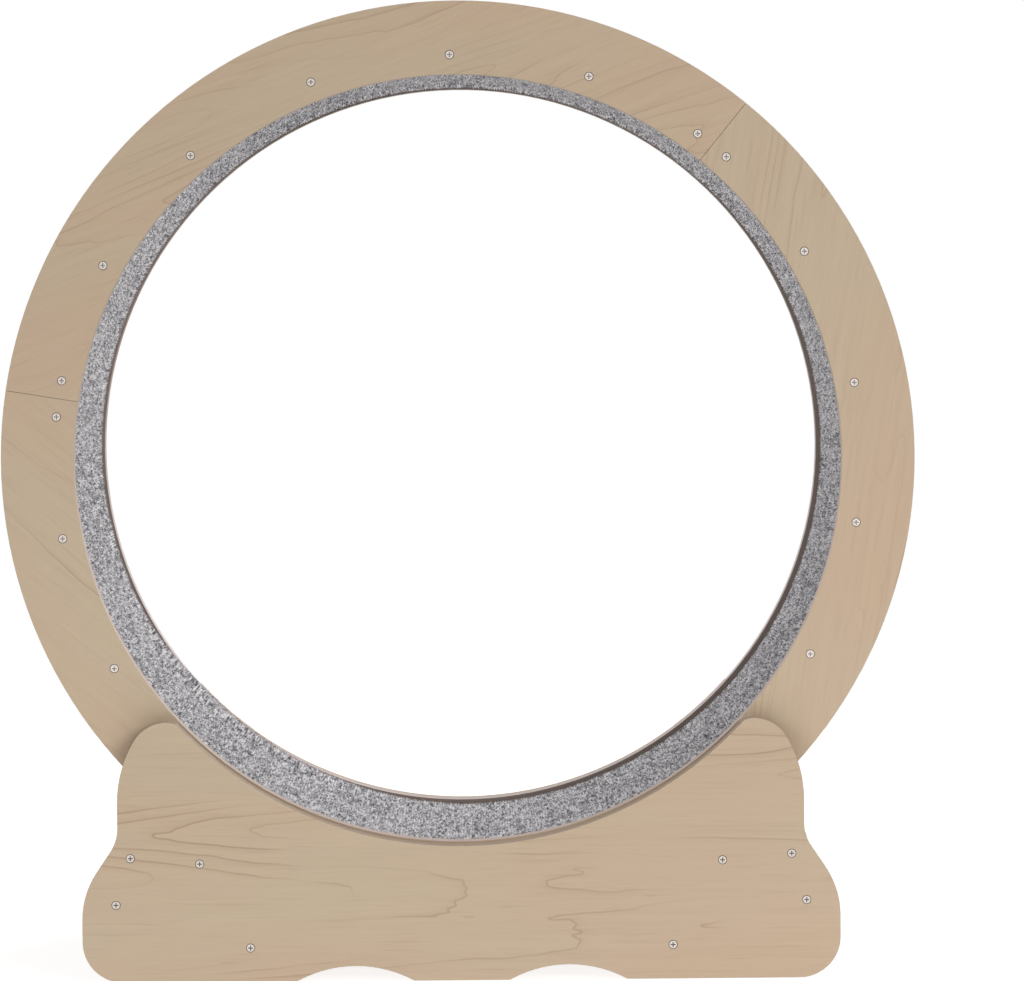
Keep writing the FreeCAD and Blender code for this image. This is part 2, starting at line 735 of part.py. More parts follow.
def make_rollers():
    ball = make_ball()
    for side, depth in (("front", -1), ("rear", 1)):
        for hand, across in (("left", -1), ("right", 1)):
            name = "%s_%s" % (side, hand)
            x, y = roller_x * across, ring_middle * depth
            roller = make_roller("roller_" + name)
            race = make_outer_race("outer_race_" + name)
            for piece in (roller, race):
                place(piece, x, y, roller_z)
                keep(piece, piece.Name)
            balls = [polar(ball_pitch_radius, FULL_TURN / BALLS * number)
                     for number in range(BALLS)]
            group("bearing_balls_" + name, ball,
                  [spot(x + across_x, y, roller_z + up) for across_x, up in balls])


def at_axles(distance):
    """One placement on each of the four axles, the given distance from the middle plane."""
    spots = []
    for sign, rotation in ((-1, FRONT), (1, REAR)):
        spots += [spot(x, distance * sign, z, rotation) for x, z in axle_spots]
    return spots


def make_axles():
    spacer_outside = axle_hole_radius + d.spacer_wall
    outer_spacer = tube("outer_spacer", axle_hole_radius, spacer_outside,
                        Size(0), outer_spacer_length)
    inner_spacer = tube("inner_spacer", axle_hole_radius, spacer_outside,
                        Size(0), d.inner_spacer_length)
    washer = tube("washer", axle_hole_radius, d.washer_radius, Size(0), d.washer_thickness)
    group("axle_bolts", make_axle_bolt(), at_axles(panel_outer_face))
    group("inner_races", make_inner_race(), at_axles(ring_middle))
    group("outer_spacers", outer_spacer, at_axles(panel_inner_face))
    group("inner_spacers", inner_spacer, at_axles(ring_middle - d.bearing_width / 2))
    group("axle_washers", washer, at_axles(washer_end))
    group("axle_lock_nuts", make_lock_nut(), at_axles(nut_end))


# ---------------------------------------------------------------- build, check and write

def check_document():
    for item in doc.Objects:
        faults = {"Invalid", "Error"} & set(item.State)
        if faults:
            raise RuntimeError("%s is %s" % (item.Label, ", ".join(sorted(faults))))
    for node, piece in parts.items():
        if piece.Shape.isNull() or not piece.Shape.isValid() or not piece.Shape.Solids:
            raise RuntimeError(node + " has no valid solid")


def write_parts():
    os.makedirs("parts", exist_ok=True)
    for node, piece in parts.items():
        piece.Shape.exportStep("parts/%s.step" % node)
        print("%-24s %2d solids %12.1f mm3" % (node, len(piece.Shape.Solids), piece.Shape.Volume))


make_wheel()
make_base()
make_screws()
make_rollers()
make_axles()
doc.recompute()
check_document()
write_parts()
print(len(parts), "nodes")
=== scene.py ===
import json
import math

import bpy
import numpy as np
from mathutils import Matrix, Vector


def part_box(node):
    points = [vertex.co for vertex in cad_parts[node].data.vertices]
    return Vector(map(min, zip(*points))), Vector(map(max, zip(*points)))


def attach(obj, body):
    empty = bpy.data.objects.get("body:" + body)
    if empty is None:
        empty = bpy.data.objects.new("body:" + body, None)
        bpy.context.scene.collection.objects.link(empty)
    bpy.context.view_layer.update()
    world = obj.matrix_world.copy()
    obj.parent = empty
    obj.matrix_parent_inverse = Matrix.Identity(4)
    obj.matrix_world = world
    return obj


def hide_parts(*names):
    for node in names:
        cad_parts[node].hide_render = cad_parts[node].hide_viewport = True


# The looks of a pet exercise wheel: maple-faced plywood rings and base, battens, a heathered
# loop carpet, zinc screws and nylon rollers. Metres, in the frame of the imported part: the
# origin is on the floor under the wheel, +X to the right, +Y to the rear and +Z up.

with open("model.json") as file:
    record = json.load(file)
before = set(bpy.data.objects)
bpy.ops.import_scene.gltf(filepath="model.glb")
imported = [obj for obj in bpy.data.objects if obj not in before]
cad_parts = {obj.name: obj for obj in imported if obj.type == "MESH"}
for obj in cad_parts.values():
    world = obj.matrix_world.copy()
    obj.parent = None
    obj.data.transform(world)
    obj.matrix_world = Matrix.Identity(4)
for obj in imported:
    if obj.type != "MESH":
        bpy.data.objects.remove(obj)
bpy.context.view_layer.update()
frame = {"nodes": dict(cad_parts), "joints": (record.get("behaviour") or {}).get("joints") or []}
nodes = frame["nodes"]

# ---------------------------------------------------------------- sizes of the part

X, Y, Z = Vector((1, 0, 0)), Vector((0, 1, 0)), Vector((0, 0, 1))

SEGMENTS = 3
SEGMENT_TURN = math.tau / SEGMENTS
JOINT_ANGLE = math.radians(50.75)
SEAM_ANGLE = math.radians(222.0)
RING_THICKNESS = 0.015
CARPET_THICKNESS = 0.0045

_, carpet_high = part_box("carpet_runner")
_, panel_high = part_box("rear_panel")
_, track_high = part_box("track_board_1")
spin = next(joint for joint in frame["joints"] if joint["name"] == "wheel_spin")
WHEEL_CENTRE = Vector(spin["pos_m"])
CARPET_BACK = carpet_high.z - WHEEL_CENTRE.z
TRACK_EDGE = carpet_high.y
RING_FACE = track_high.y + RING_THICKNESS
PANEL_FACE = panel_high.y

# ---------------------------------------------------------------- camera

CAMERA_PLACE = Vector((0.0388, -3.7845, 0.7719))
CAMERA_YAW = math.radians(0.315)
CAMERA_PITCH = math.radians(-3.706)
CAMERA_ROLL = math.radians(-0.423)
CAMERA_LENS = 116.76


def make_camera():
    """The photograph's view: in front of the wheel, a little above its axle."""
    data = bpy.data.cameras.new("camera")
    data.lens = CAMERA_LENS
    camera = bpy.data.objects.new("camera", data)
    turn = (Matrix.Rotation(-CAMERA_YAW, 4, "Z")
            @ Matrix.Rotation(math.pi / 2 + CAMERA_PITCH, 4, "X")
            @ Matrix.Rotation(CAMERA_ROLL, 4, "Z"))
    camera.matrix_world = Matrix.Translation(CAMERA_PLACE) @ turn
    bpy.context.scene.collection.objects.link(camera)
    bpy.context.scene.camera = camera


# ---------------------------------------------------------------- light and floor

WHITE = (1, 1, 1, 1)
WORLD_STRENGTH = 0.22
BACKGROUND_STRENGTH = 1.0

# The name, place, size and power in watts of each light.
SOFTBOXES = (("key", (3.2, -3.4, 2.2), 2.2, 112),
             ("fill", (-3.6, -3.2, 1.6), 2.4, 50),
             ("overhead", (0.9, 0.5, 4.2), 3.2, 98),
             ("rear_right", (3.0, 3.6, 2.2), 2.4, 74),
             ("rear_left", (-3.2, 3.4, 2.0), 2.4, 60))

FLOOR_RADIUS = 1.9
FLOOR_SIDES = 128
FLOOR_GLOW = 0.82
FLOOR_DARK = (0.29, 0.29, 0.289, 1)
FLOOR_LIGHT = (0.32, 0.32, 0.319, 1)
FLOOR_PATCHES = 3.0
FLOOR_ROUGHNESS = 0.8


def make_world():
    """Even studio light, and a white background where the camera sees past the floor."""
    world = bpy.data.worlds.new("studio")
    bpy.context.scene.world = world
    world.use_nodes = True
    tree = world.node_tree
    tree.nodes.clear()
    path = tree.nodes.new("ShaderNodeLightPath")
    strength = tree.nodes.new("ShaderNodeMapRange")
    strength.inputs["To Min"].default_value = WORLD_STRENGTH
    strength.inputs["To Max"].default_value = BACKGROUND_STRENGTH
    background = tree.nodes.new("ShaderNodeBackground")
    background.inputs["Color"].default_value = WHITE
    output = tree.nodes.new("ShaderNodeOutputWorld")
    tree.links.new(path.outputs["Is Camera Ray"], strength.inputs["Value"])
    tree.links.new(strength.outputs["Result"], background.inputs["Strength"])
    tree.links.new(background.outputs["Background"], output.inputs["Surface"])


def make_softbox(name, place, size, power):
    """A square area light aimed at the middle of the wheel."""
    data = bpy.data.lights.new(name, "AREA")
    data.size = size
    data.energy = power
    light = bpy.data.objects.new(name, data)
    aim = (WHEEL_CENTRE - Vector(place)).to_track_quat("-Z", "Y")
    light.matrix_world = Matrix.Translation(place) @ aim.to_matrix().to_4x4()
    bpy.context.scene.collection.objects.link(light)


def make_floor():
    """A round, pale floor that glows a little, so that its far rim melts into the background."""
    bpy.ops.mesh.primitive_circle_add(vertices=FLOOR_SIDES, radius=FLOOR_RADIUS,
                                      fill_type="NGON")
    floor = bpy.context.object
    floor.name = "floor"
    s = Shader("floor_paint")
    tone = s.noise(s.coordinates("Object"), FLOOR_PATCHES, detail=3)
    colour = s.mix(tone, FLOOR_DARK, FLOOR_LIGHT)
    s.surface(colour, FLOOR_ROUGHNESS, Emission_Color=WHITE, Emission_Strength=FLOOR_GLOW)
    floor.data.materials.append(s.material)


# ---------------------------------------------------------------- material building

# The sockets of a mix node that hold colours, which share their names with its other ones.
MIX_FIRST, MIX_SECOND, MIX_RESULT = 6, 7, 2

# Noise swings round a half, and most of it lies in this span.
NOISE_SPAN = (0.3, 0.7)


class Shader:
    """A material's node tree, with short calls for the nodes used here."""

    def __init__(self, name):
        self.material = bpy.data.materials.new(name)
        self.material.use_nodes = True
        self.tree = self.material.node_tree
        self.tree.nodes.clear()

    def add(self, kind, inputs, **settings):
        """A node of this kind. Each input is a number, a colour or another node's output."""
        node = self.tree.nodes.new(kind)
        for name, value in settings.items():
            setattr(node, name, value)
        for key, value in inputs.items():
            if isinstance(value, bpy.types.NodeSocket):
                self.tree.links.new(value, node.inputs[key])
            else:
                node.inputs[key].default_value = value
        return node

    def coordinates(self, kind):
        return self.add("ShaderNodeTexCoord", {}).outputs[kind]

    def attribute(self, name):
        return self.add("ShaderNodeAttribute", {}, attribute_name=name).outputs["Fac"]

    def math(self, operation, first, second=0.0, third=0.0):
        inputs = {0: first, 1: second, 2: third}
        return self.add("ShaderNodeMath", inputs, operation=operation).outputs[0]

    def vector(self, operation, first, second):
        inputs = {0: first, 1: second}
        node = self.add("ShaderNodeVectorMath", inputs, operation=operation)
        return node.outputs["Value" if operation == "DOT_PRODUCT" else "Vector"]

    def combine(self, *parts):
        return self.add("ShaderNodeCombineXYZ", dict(enumerate(parts))).outputs[0]

    def length(self, vector):
        return self.math("SQRT", self.vector("DOT_PRODUCT", vector, vector))

    def facing(self, axis):
        """How far the surface faces along the axis: 1 along it, 0 across it and -1 against."""
        return self.vector("DOT_PRODUCT", self.coordinates("Normal"), tuple(axis))

    def noise(self, place, scale, detail=2.0, roughness=0.5):
        inputs = {"Vector": place, "Scale": scale, "Detail": detail, "Roughness": roughness}
        return self.add("ShaderNodeTexNoise", inputs).outputs["Fac"]

    def stretched(self, place, scales, **settings):
        """Noise whose scale differs along the three axes, in cells per metre."""
        return self.noise(self.vector("MULTIPLY", place, scales), 1.0, **settings)

    def lot(self, number):
        """A fixed random value from 0 to 1 for each whole number."""
        node = self.add("ShaderNodeTexWhiteNoise", {"W": number}, noise_dimensions="1D")
        return node.outputs["Value"]

    def ramp(self, value, low, high, start=0.0, end=1.0, interpolation="LINEAR"):
        """A ramp from start to end while value goes from low to high, straight by default."""
        inputs = {"Value": value, "From Min": low, "From Max": high, "To Min": start, "To Max": end}
        node = self.add("ShaderNodeMapRange", inputs, interpolation_type=interpolation)
        return node.outputs["Result"]

    def step(self, value, low, high, start=0.0, end=1.0):
        """A smooth step from start to end while value goes from low to high."""
        return self.ramp(value, low, high, start, end, "SMOOTHSTEP")

    def sway(self, value, noise, amount):
        """The value moved up or down with the noise, by nothing where the noise is a half."""
        return self.math("MULTIPLY_ADD", self.math("SUBTRACT", noise, 0.5), amount, value)

    def mix(self, share, first, second):
        """The first colour, with this share of the second."""
        inputs = {"Factor": share, MIX_FIRST: first, MIX_SECOND: second}
        return self.add("ShaderNodeMix", inputs, data_type="RGBA").outputs[MIX_RESULT]

    def brighten(self, colour, tone):
        return self.vector("MULTIPLY", colour, (tone, tone, tone))

    def surface(self, colour, roughness, height=None, depth=0.001, **settings):
        """The finished surface; height drives a bump of the given depth."""
        inputs = {"Base Color": colour, "Roughness": roughness}
        inputs.update({name.replace("_", " "): value for name, value in settings.items()})
        if height is not None:
            bump = self.add("ShaderNodeBump", {"Height": height, "Distance": depth})
            inputs["Normal"] = bump.outputs["Normal"]
        shader = self.add("ShaderNodeBsdfPrincipled", inputs)
        self.add("ShaderNodeOutputMaterial", {"Surface": shader.outputs["BSDF"]})


def paint(node, material):
    """Give a CAD node one material."""
    piece = nodes[node]
    piece.data.materials.clear()
    piece.data.materials.append(material)


# ---------------------------------------------------------------- eased edges

EASING = 0.0008
EASING_STEPS = 2
WELD_DISTANCE = 1e-5
FLAT_ANGLE = math.radians(0.2)
WOOD_EDGE_ANGLE = math.radians(40)
SCREW_EDGE_ANGLE = math.radians(100)


def ease_edges(node, sharpest=WOOD_EDGE_ANGLE):
    """Round the edges that turn by more than the given angle, after joining the piece's flat
    faces up."""
    piece = nodes[node]
    piece.modifiers.new("weld", "WELD").merge_threshold = WELD_DISTANCE
    flat = piece.modifiers.new("flat_faces", "DECIMATE")
    flat.decimate_type = "DISSOLVE"
    flat.angle_limit = FLAT_ANGLE
    bevel = piece.modifiers.new("eased_edges", "BEVEL")
    bevel.width = EASING
    bevel.segments = EASING_STEPS
    bevel.limit_method = "ANGLE"
    bevel.angle_limit = sharpest
    bevel.harden_normals = True


# ---------------------------------------------------------------- veneer

MAPLE = (0.530, 0.422, 0.296, 1)
MAPLE_WARM = (0.540, 0.400, 0.280, 1)
MAPLE_LINE = (0.290, 0.172, 0.098, 1)

# Noise in the veneer: cells per metre along the grain, across it and through the board.
GROWTH_CELLS = (1.25, 9.5, 1)
WANDER_CELLS = (8, 45, 1)
LINE_PATCH_CELLS = (3.4, 15, 2)
DRIFT_CELLS = (2.2, 9, 3)
FIBRE_CELLS = (22, 1300, 40)
STREAK_CELLS = (5, 170, 20)
DASH_CELLS = (16, 330, 10)
FLECK_CELLS = (62, 850, 30)

# The growth lines. SLOPE_FLOOR lets them widen where the growth field is nearly level.
WANDER = 0.05
SLOPE_STEP = 0.0004
SLOPE_FLOOR = 3.0
LINE_HALF_WIDTH = 0.0014
LINE_CORE = 0.15 * LINE_HALF_WIDTH
LINE_PATCHES = (0.42, 0.64)
FAINTEST_LINE = 0.25
SHADE_WIDTH = 0.010

# How much of the line's colour each of the other marks has, the noise at which the short
# marks fade in, and how far fibres stand up and lines lie down.
STREAK_SHARE = 0.09
FIBRE_SHARE = 0.05
DASH_SHARE = 0.13
FLECK_SHARE = 0.12
SHADE_SHARE = 0.3
DASH_SPAN = (0.56, 0.74)
FLECK_SPAN = (0.66, 0.76)
FIBRE_HEIGHT = 0.5
LINE_HEIGHT = -0.5


def direction(angle):
    """The way out from the axle at this angle from +X."""
    return Vector((math.cos(angle), 0, math.sin(angle)))


def grain_place(s, along, across, shift):
    """Object coordinates as metres along the grain, across it and through the board."""
    place = s.coordinates("Object")
    parts = [s.vector("DOT_PRODUCT", place, tuple(axis))
             for axis in (along, across, along.cross(across))]
    return s.vector("ADD", s.combine(*parts), shift)


def growth_field(s, grain):
    """Height of the tree's growth layers under the veneer. Its level lines are the figure."""
    broad = s.stretched(grain, GROWTH_CELLS, detail=1, roughness=0.45)
    wander = s.stretched(grain, WANDER_CELLS)
    return s.math("MULTIPLY_ADD", wander, WANDER, broad)


def growth_lines(s, grain, levels):
    """Lines of even width along the level lines of the growth field, each of its own
    strength, and the soft shade on one side of each."""
    field = growth_field(s, grain)
    rises = []
    for step in ((SLOPE_STEP, 0, 0), (0, SLOPE_STEP, 0)):
        there = growth_field(s, s.vector("ADD", grain, step))
        rises.append(s.math("DIVIDE", s.math("SUBTRACT", there, field), SLOPE_STEP))
    slope = s.math("MULTIPLY_ADD", s.length(s.combine(*rises)), levels, SLOPE_FLOOR)
    level = s.math("MULTIPLY", field, levels)
    distance = s.math("DIVIDE", s.math("PINGPONG", level, 0.5), slope)
    strength = s.ramp(s.lot(s.math("ROUND", level)), 0.0, 1.0, FAINTEST_LINE, 1.0)
    shown = s.step(s.stretched(grain, LINE_PATCH_CELLS), *LINE_PATCHES)
    strength = s.math("MULTIPLY", strength, shown)
    line = s.step(distance, LINE_CORE, LINE_HALF_WIDTH, 1.0, 0.0)
    below = s.math("GREATER_THAN", s.math("FRACT", level), 0.5)
    shade = s.math("MULTIPLY", s.step(distance, 0.0, SHADE_WIDTH, 1.0, 0.0), below)
    return s.math("MULTIPLY", line, strength), s.math("MULTIPLY", shade, strength)


def veneer_face(s, grain, levels, figure):
    """Rotary-cut maple: drifting tone, growth lines, fibres, streaks and short flecks. More
    levels give more lines, and figure is their strength. Returns its colour and its height."""
    drift = s.stretched(grain, DRIFT_CELLS, detail=3)
    fibre = s.stretched(grain, FIBRE_CELLS)
    streak = s.stretched(grain, STREAK_CELLS, detail=3, roughness=0.6)
    dash = s.step(s.stretched(grain, DASH_CELLS), *DASH_SPAN)
    fleck = s.step(s.stretched(grain, FLECK_CELLS, detail=1), *FLECK_SPAN)
    line, shade = growth_lines(s, grain, levels)

    colour = s.mix(s.step(drift, *NOISE_SPAN), MAPLE, MAPLE_WARM)
    marks = ((s.ramp(streak, *NOISE_SPAN), STREAK_SHARE), (s.ramp(fibre, *NOISE_SPAN), FIBRE_SHARE),
             (dash, DASH_SHARE), (fleck, FLECK_SHARE), (shade, SHADE_SHARE * figure),
             (line, figure))
    for mark, share in marks:
        colour = s.mix(s.math("MULTIPLY", mark, share), colour, MAPLE_LINE)
    height = s.math("MULTIPLY_ADD", fibre, FIBRE_HEIGHT, s.math("MULTIPLY", line, LINE_HEIGHT))
    return colour, height


# ---------------------------------------------------------------- plywood

# The eased edges are painted dark: painted shade along the rounded edges of the boards and round
# the screw holes.
EASED_EDGE_SHADE = (0.205, 0.178, 0.150, 1)
EDGE_LIGHT = (0.560, 0.440, 0.335, 1)
EDGE_DARK = (0.340, 0.235, 0.165, 1)
EASED_SHARE = 0.85

# The plies: their thickness, how far they wander in plies, and where in a ply the next begins.
PLY = 0.00136
PLY_WOBBLE = 0.25
PLY_WOBBLE_SCALE = 14.0
PLY_CHANGE = (0.42, 0.58)
PORE_SCALE = 1400.0
PORE_SPAN = (0.35, 0.65)
PORE_SHARE = 0.6
PORE_HEIGHT = 0.6
END_GRAIN_HEIGHT = -0.5
STRAND_CELLS = (160, 1800, 160)
STRAND_SHARE = 0.35

# Painted shade on each ring's lip beside the carpet, also used as the painted shade high on the
# rear bore.
LIP_PAINTED_SHADE = (0.262, 0.208, 0.178, 1)
# The bores are painted lighter below the axle, as painted light, and darker above it, as painted
# shade.
FRONT_BORE_PAINTED_LIGHT = (0.700, 0.560, 0.510, 1)
FRONT_BORE_PAINTED_SHADE = (0.420, 0.335, 0.270, 1)
REAR_BORE_PAINTED_LIGHT = (0.700, 0.630, 0.640, 1)
BORE_SHARE = 0.7

# The painted light and shade on the bore change between these heights above the axle.
PAINTED_LIGHT_HEIGHTS = (-0.15, 0.20)

# How far a surface has to face a way to count as facing it, from barely to fully: the lip, a
# board's face, and the eased edge, which starts between the board's edge and its face.
LIP_LOW, LIP_HIGH = 0.3, 0.7
FACE_TURN = (0.55, 0.80)
EASED_START = (0.20, 0.50)
EASED_END = (0.90, 0.98)

PLYWOOD_HEIGHTS = (-0.6, 0.6)
PLYWOOD_ROUGHNESS = (0.60, 0.48)
PLYWOOD_BUMP = 0.00012


def ply_edge(s, first_face, tone):
    """The edge of a board whose plies lie across Y, counted from the board's face and
    brightened by the tone. Returns its colour and its height."""
    place = s.coordinates("Object")
    y = s.vector("DOT_PRODUCT", place, tuple(Y))
    wobble = s.noise(place, PLY_WOBBLE_SCALE)
    layer = s.math("MULTIPLY_ADD", wobble, PLY_WOBBLE,
                   s.math("DIVIDE", s.math("SUBTRACT", y, first_face), PLY))
    end_grain = s.step(s.math("PINGPONG", layer, 1.0), *PLY_CHANGE)
    pores = s.noise(place, PORE_SCALE)
    strands = s.stretched(place, STRAND_CELLS)
    light = s.mix(s.ramp(strands, *NOISE_SPAN, 0.0, STRAND_SHARE), EDGE_LIGHT, EDGE_DARK)
    dark = s.mix(s.ramp(pores, *PORE_SPAN, 0.0, PORE_SHARE), EDGE_DARK, EDGE_LIGHT)
    colour = s.brighten(s.mix(end_grain, light, dark), tone)
    height = s.math("MULTIPLY_ADD", pores, PORE_HEIGHT,
                    s.math("MULTIPLY", end_grain, END_GRAIN_HEIGHT))
    return colour, height


def ring_inside(s, colour, track_side, bore_lit_below, bore_shaded_above):
    """A ring's colour with what lies inside the carpet: painted shade on the lip that faces the
    track, and on the bore painted light below the axle and painted shade above it."""
    outward = s.vector("SUBTRACT", s.coordinates("Object"), tuple(WHEEL_CENTRE))
    radius = s.length(s.vector("MULTIPLY", outward, (1, 0, 1)))
    inside = s.step(radius, CARPET_BACK - CARPET_THICKNESS, CARPET_BACK, 1.0, 0.0)
    facing = s.facing(Y * track_side)
    lip = s.math("MULTIPLY", inside, s.step(facing, LIP_LOW, LIP_HIGH))
    bore = s.math("MULTIPLY", inside,
                  s.step(s.math("ABSOLUTE", facing), LIP_HIGH, LIP_LOW, 0.0, BORE_SHARE))
    height = s.vector("DOT_PRODUCT", outward, tuple(Z))
    bore_light_and_shade = s.mix(s.step(height, *PAINTED_LIGHT_HEIGHTS), bore_lit_below, bore_shaded_above)
    return s.mix(lip, s.mix(bore, colour, bore_light_and_shade), LIP_PAINTED_SHADE)


def plywood(name, along, across, shift, first_face, levels, figure, tones, inside=None):
    """Maple-faced plywood that lies across Y, with its face grain along the given axis. Its
    faces and its edges are brightened by the two tones. A ring also gets its inside."""
    face_tone, edge_tone = tones
    s = Shader(name)
    grain = grain_place(s, along, across, shift)
    face, face_height = veneer_face(s, grain, levels, figure)
    face = s.brighten(face, face_tone)
    edge, edge_height = ply_edge(s, first_face, edge_tone)
    facing = s.math("ABSOLUTE", s.facing(Y))
    on_face = s.step(facing, *FACE_TURN)
    colour = s.mix(on_face, edge, face)
    eased = s.math("MULTIPLY", s.step(facing, *EASED_START),
                   s.step(facing, *EASED_END, EASED_SHARE, 0.0))
    colour = s.mix(eased, colour, EASED_EDGE_SHADE)
    if inside:
        colour = ring_inside(s, colour, *inside)
    height = s.math("ADD", s.math("MULTIPLY", face_height, on_face),
                    s.math("MULTIPLY", edge_height, s.math("SUBTRACT", 1.0, on_face)))
    roughness = s.ramp(height, *PLYWOOD_HEIGHTS, *PLYWOOD_ROUGHNESS)
    s.surface(colour, roughness, height, PLYWOOD_BUMP)
    return s.material


# Each ring's side, the way from it to the track, where its veneer starts along the grain, and the
# painted light low and the painted shade high on its bore.
RINGS = (("front", 1, 0, FRONT_BORE_PAINTED_LIGHT, FRONT_BORE_PAINTED_SHADE),
         ("rear", -1, 0.4, REAR_BORE_PAINTED_LIGHT, LIP_PAINTED_SHADE))
RING_LEVELS = 20.0
RING_FIGURE = 0.40
RING_TONES = (1.055, 1.15)
SEGMENT_SHIFT_ALONG, SEGMENT_SHIFT_ACROSS = 1.7, 0.9

# Each panel's side, the way it faces, the shift of its veneer and the tone of its edges, which is
# painted light and shade: the rear panel's edges are painted lighter, as if lit from behind, and
# the front panel's a little darker.
PANELS = (("front", -1, (5.72, 1.97, 0), 0.94),
          ("rear", 1, (8.1, 3.3, 0), 1.3))
PANEL_LEVELS = 18.0
PANEL_FIGURE = 0.62


def finish_rings():
    """Each ring segment gets veneer of its own, whose grain runs along the segment."""
    for number in range(SEGMENTS):
        middle = JOINT_ANGLE + SEGMENT_TURN * (number + 0.5)
        along, across = direction(middle + math.pi / 2), direction(middle)
        for side, track_side, start, bore_lit_below, bore_shaded_above in RINGS:
            node = "%s_ring_segment_%d" % (side, number + 1)
            face = -track_side * RING_FACE
            shift = (SEGMENT_SHIFT_ALONG * number + start, SEGMENT_SHIFT_ACROSS * number, face)
            paint(node, plywood("maple_" + node, along, across, shift, face, RING_LEVELS,
                                RING_FIGURE, RING_TONES, (track_side, bore_lit_below, bore_shaded_above)))
            ease_edges(node)


def finish_panels():
    """The two panels of the base, with the grain from side to side."""
    for side, sign, shift, edge_tone in PANELS:
        node = side + "_panel"
        paint(node, plywood("maple_" + node, X, Z, shift, sign * PANEL_FACE, PANEL_LEVELS,
                            PANEL_FIGURE, (1.0, edge_tone)))
        ease_edges(node)


# ---------------------------------------------------------------- solid wood

# The light and dark colours of each wood, and where in the tree it is cut.
BATTEN_WOOD = ((0.60, 0.455, 0.30, 1), (0.40, 0.265, 0.15, 1), (0, 0, 0))
BAR_WOOD = ((0.57, 0.44, 0.30, 1), (0.38, 0.26, 0.155, 1), (3, 1, 2))
TRACK_WOOD = ((0.52, 0.385, 0.255, 1), (0.36, 0.24, 0.145, 1), (7, 4, 1))

TIMBER_RING_CELLS = (120, 3.0, 120)
TIMBER_FIBRE_CELLS = (900, 16, 900)
TIMBER_DRIFT_CELLS = (14, 2.0, 14)
TIMBER_DRIFT_SHARE = 0.35
TIMBER_RING_SPAN = (0.45, 0.75)
TIMBER_RING_SHARE = 0.45
TIMBER_RING_HEIGHT = 0.6
TIMBER_FIBRE_SHARE = 0.22
TIMBER_ROUGHNESS = (0.55, 0.68)
TIMBER_BUMP = 0.00015


def timber(name, light, dark, shift):
    """Wood with its grain along Y."""
    s = Shader(name)
    place = s.vector("ADD", s.coordinates("Object"), shift)
    rings = s.stretched(place, TIMBER_RING_CELLS)
    fibre = s.stretched(place, TIMBER_FIBRE_CELLS)
    drift = s.stretched(place, TIMBER_DRIFT_CELLS)
    middle = s.mix(TIMBER_DRIFT_SHARE, light, dark)
    colour = s.mix(s.step(drift, *NOISE_SPAN), light, middle)
    colour = s.mix(s.step(rings, *TIMBER_RING_SPAN, 0.0, TIMBER_RING_SHARE), colour, dark)
    colour = s.mix(s.ramp(fibre, *NOISE_SPAN, 0.0, TIMBER_FIBRE_SHARE), colour, dark)
    height = s.math("MULTIPLY_ADD", rings, TIMBER_RING_HEIGHT, fibre)
    s.surface(colour, s.ramp(fibre, *NOISE_SPAN, *TIMBER_ROUGHNESS), height, TIMBER_BUMP)
    return s.material


def finish_timber():
    """The battens, the boards and bars of the base, and the bent boards of the track."""
    batten_wood = timber("batten_timber", *BATTEN_WOOD)
    bar_wood = timber("bar_timber", *BAR_WOOD)
    track_wood = timber("track_veneer", *TRACK_WOOD)
    for node in nodes:
        if "batten" in node:
            paint(node, batten_wood)
            ease_edges(node)
        elif node.endswith(("end_board", "cross_bar")):
            paint(node, bar_wood)
            ease_edges(node)
        elif node.startswith("track_board"):
            paint(node, track_wood)


# ---------------------------------------------------------------- metal and nylon

# The ring's screws are painted lighter and the panels' screws darker: painted light and shade on
# the same zinc.
RING_ZINC = ((0.98, 0.90, 0.84, 1), (0.90, 0.82, 0.76, 1))
RING_RECESS_SHADE = (0.62, 0.57, 0.55, 1)
PANEL_ZINC = ((0.80, 0.73, 0.67, 1), (0.70, 0.63, 0.57, 1))
PANEL_RECESS_SHADE = (0.26, 0.24, 0.23, 1)
# Painted shade on the rounded rims of the screw heads; the recess colours above are painted shade
# too.
RIM_PAINTED_SHADE = (0.24, 0.23, 0.23, 1)
PLAIN_ZINC = ((0.97, 0.95, 0.94, 1), (0.84, 0.82, 0.81, 1))
STEEL = ((0.68, 0.68, 0.69, 1), (0.58, 0.58, 0.59, 1))
NYLON_DARK = (0.74, 0.73, 0.69, 1)
NYLON_LIGHT = (0.80, 0.79, 0.76, 1)

SCREW_ROUGHNESS = (0.34, 0.46)
ZINC_ROUGHNESS = (0.30, 0.42)
STEEL_ROUGHNESS = (0.16, 0.26)
NYLON_ROUGHNESS = (0.38, 0.50)
SCREW_METALLIC = 0.35
ZINC_WEAR_SCALE = 400.0
STEEL_WEAR_SCALE = 300.0
WEAR_SPAN = (0.35, 0.65)
GRIT_SCALE = 2500.0
GRIT_ROUGHNESS = 0.08
METAL_BUMP = 0.00003
NYLON_CLOUD_SCALE = 60.0
NYLON_GRAIN_SCALE = 1800.0
NYLON_BUMP = 0.00004

# Depths below the plane of the heads: a screw's recess fades in between the first two and out
# between the second two. RIM_TURN is how far the head faces along Y from its rim to its top.
RECESS_TOP = (0.0010, 0.0003)
RECESS_FLOOR = (0.0030, 0.0025)
RIM_TURN = (0.90, 0.995)
RIM_SHARE = 0.8


